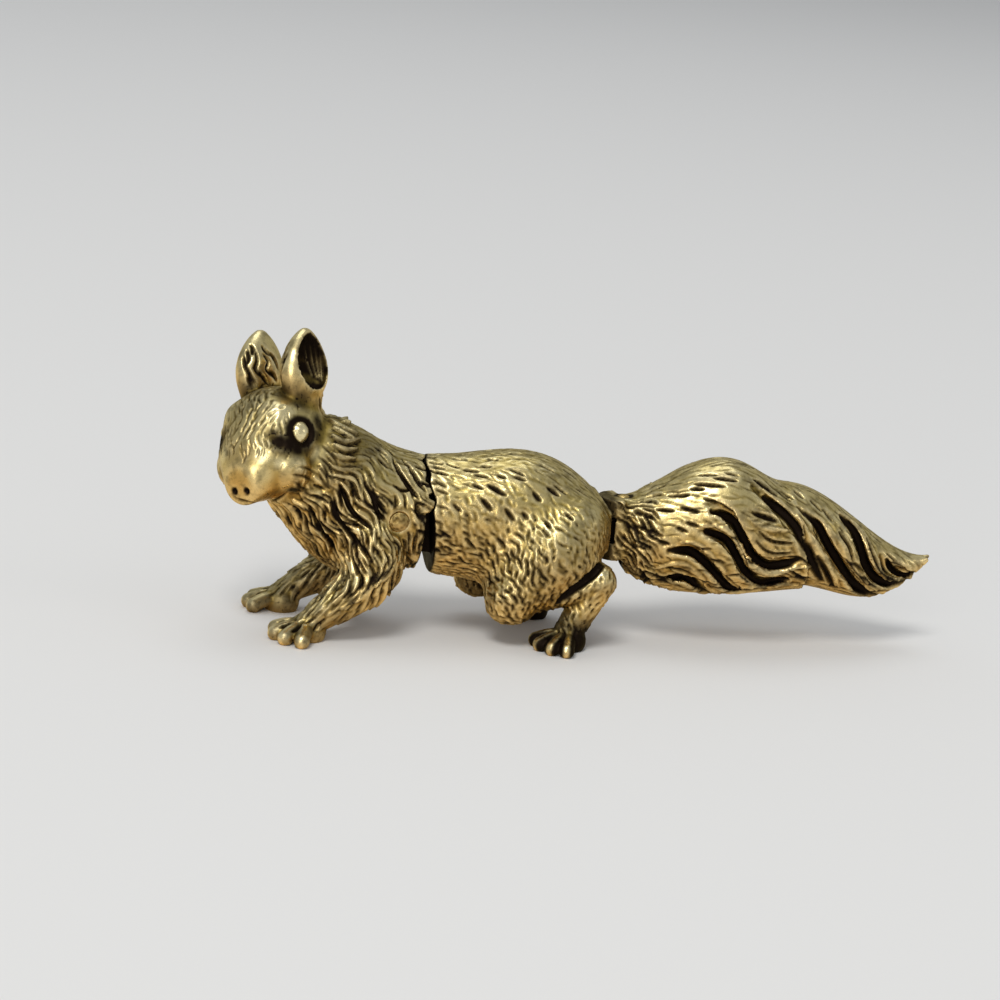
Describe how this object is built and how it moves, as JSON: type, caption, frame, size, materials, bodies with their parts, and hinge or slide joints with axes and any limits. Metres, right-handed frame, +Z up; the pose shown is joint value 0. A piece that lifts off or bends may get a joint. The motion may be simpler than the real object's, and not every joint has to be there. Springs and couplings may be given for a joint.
{
  "type": "jointed squirrel figurine",
  "caption": "Cast brass squirrel in a low walk with its head turned, hinged at the waist and at the root of its stretched-out tail.",
  "frame": {"origin": "on the ground under the middle of the figure's box", "axes": "-X the way the body faces, +X towards the tip of the tail, -Y the animal's left side, +Z up"},
  "size_m": [0.0704, 0.0178, 0.0281],
  "materials": {
    "antique_brass": "cast, with dark patina in the recesses and rubbed high spots",
    "rivet_brass": "peened ends, rubbed smooth"
  },
  "bodies": {
    "rear": {"rear_body": "antique_brass"},
    "front": {"front_body": "antique_brass", "waist_pin": "rivet_brass"},
    "tail": {"tail": "antique_brass", "tail_pin": "rivet_brass"}
  },
  "joints": [
    {"name": "waist_hinge", "type": "hinge", "parent": "rear", "child": "front", "pos_m": [-0.0188, 0, 0.0115], "axis": [0, -1, 0], "range_deg": [0, 12]},
    {"name": "tail_hinge", "type": "hinge", "parent": "rear", "child": "tail", "pos_m": [0.0036, 0, 0.01075], "axis": [0, 0, 1], "range_deg": [-25, 25]}
  ]
}
